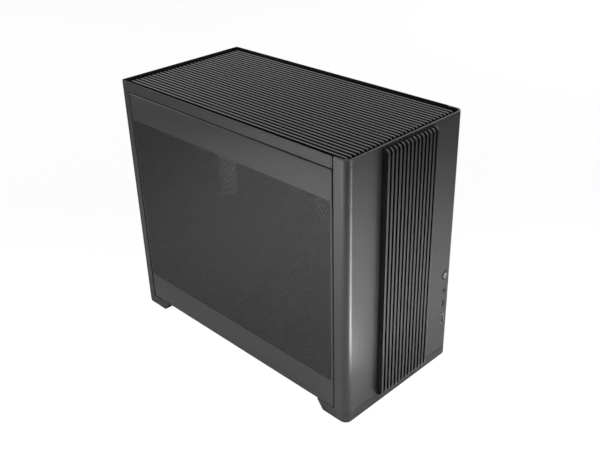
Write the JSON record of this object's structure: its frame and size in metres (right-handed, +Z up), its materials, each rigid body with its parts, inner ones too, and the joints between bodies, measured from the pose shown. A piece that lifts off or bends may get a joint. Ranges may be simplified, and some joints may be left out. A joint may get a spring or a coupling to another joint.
{
  "type": "micro atx pc case",
  "caption": "Compact upright computer case with perforated side panels, a ribbed front strip, a ribbed vented top and a row of front ports.",
  "frame": {"origin": "on the floor under the middle of the case", "axes": "+Z up, the front faces -Y, +X to the right as seen from the front"},
  "size_m": [0.205, 0.417, 0.354],
  "materials": {
    "chassis_steel": "satin black powder coat",
    "outer_steel": "fine textured black powder coat",
    "front_plastic": "satin black",
    "rib_plastic": "satin black",
    "foot_plastic": "satin black",
    "inner_plastic": "matte black",
    "rotor_plastic": "satin dark grey",
    "button_plastic": "satin black with a pale symbol",
    "rubber": "matte",
    "filter_mesh": "fine nylon mesh in a frame",
    "screw_steel": "nickel plated",
    "port_steel": "bright plated",
    "port_blue": "blue",
    "brass": "plain",
    "board": "green solder resist"
  },
  "bodies": {
    "chassis": {"base_pan": "chassis_steel", "front_frame": "chassis_steel", "rear_panel": "outer_steel", "top_frame": "outer_steel", "motherboard_tray": "chassis_steel", "standoffs": "brass", "psu_bracket": "chassis_steel", "psu_bracket_screws": "screw_steel", "drive_bracket": "chassis_steel", "drive_bracket_screws": "screw_steel", "slot_cover_1": "chassis_steel", "slot_cover_2": "chassis_steel", "slot_cover_3": "chassis_steel", "slot_cover_4": "chassis_steel", "slot_screws": "screw_steel", "fan_frame": "inner_plastic", "fan_screws": "screw_steel", "cable_grommets": "rubber", "front_foot": "foot_plastic", "rear_foot": "foot_plastic", "foot_pads": "rubber", "bottom_filter": "filter_mesh", "mains_inlet": "inner_plastic", "inlet_prongs": "brass", "inlet_screws": "screw_steel", "io_board": "board", "io_screws": "screw_steel", "large_port_shell": "port_steel", "large_port_tongue": "port_blue", "small_port_shell": "port_steel", "small_port_tongue": "inner_plastic", "audio_jack": "inner_plastic", "power_switch": "inner_plastic", "panel_sockets": "inner_plastic"},
    "left_side": {"left_panel": "outer_steel", "left_panel_studs": "screw_steel"},
    "right_side": {"right_panel": "outer_steel", "right_panel_studs": "screw_steel"},
    "top": {"top_grille": "rib_plastic"},
    "front": {"front_bezel": "front_plastic", "front_strip": "rib_plastic"},
    "button": {"power_button": "button_plastic"},
    "rotor": {"fan_rotor": "rotor_plastic"}
  },
  "joints": [
    {"name": "left_side_pull", "type": "slide", "parent": "chassis", "child": "left_side", "axis": [-1, 0, 0], "range_m": [0, 0.06]},
    {"name": "right_side_pull", "type": "slide", "parent": "chassis", "child": "right_side", "axis": [1, 0, 0], "range_m": [0, 0.06]},
    {"name": "top_lift", "type": "slide", "parent": "chassis", "child": "top", "axis": [0, 0, 1], "range_m": [0, 0.05]},
    {"name": "front_pull", "type": "slide", "parent": "chassis", "child": "front", "axis": [0, -1, 0], "range_m": [0, 0.06]},
    {"name": "button_press", "type": "slide", "parent": "chassis", "child": "button", "axis": [0, 1, 0], "range_m": [0, 0.0015], "stiffness_N_per_m": 300, "springref_m": -0.001},
    {"name": "rotor_spin", "type": "hinge", "parent": "chassis", "child": "rotor", "pos_m": [-0.02905, 0.193, 0.2083], "axis": [0, 1, 0], "continuous": true}
  ]
}
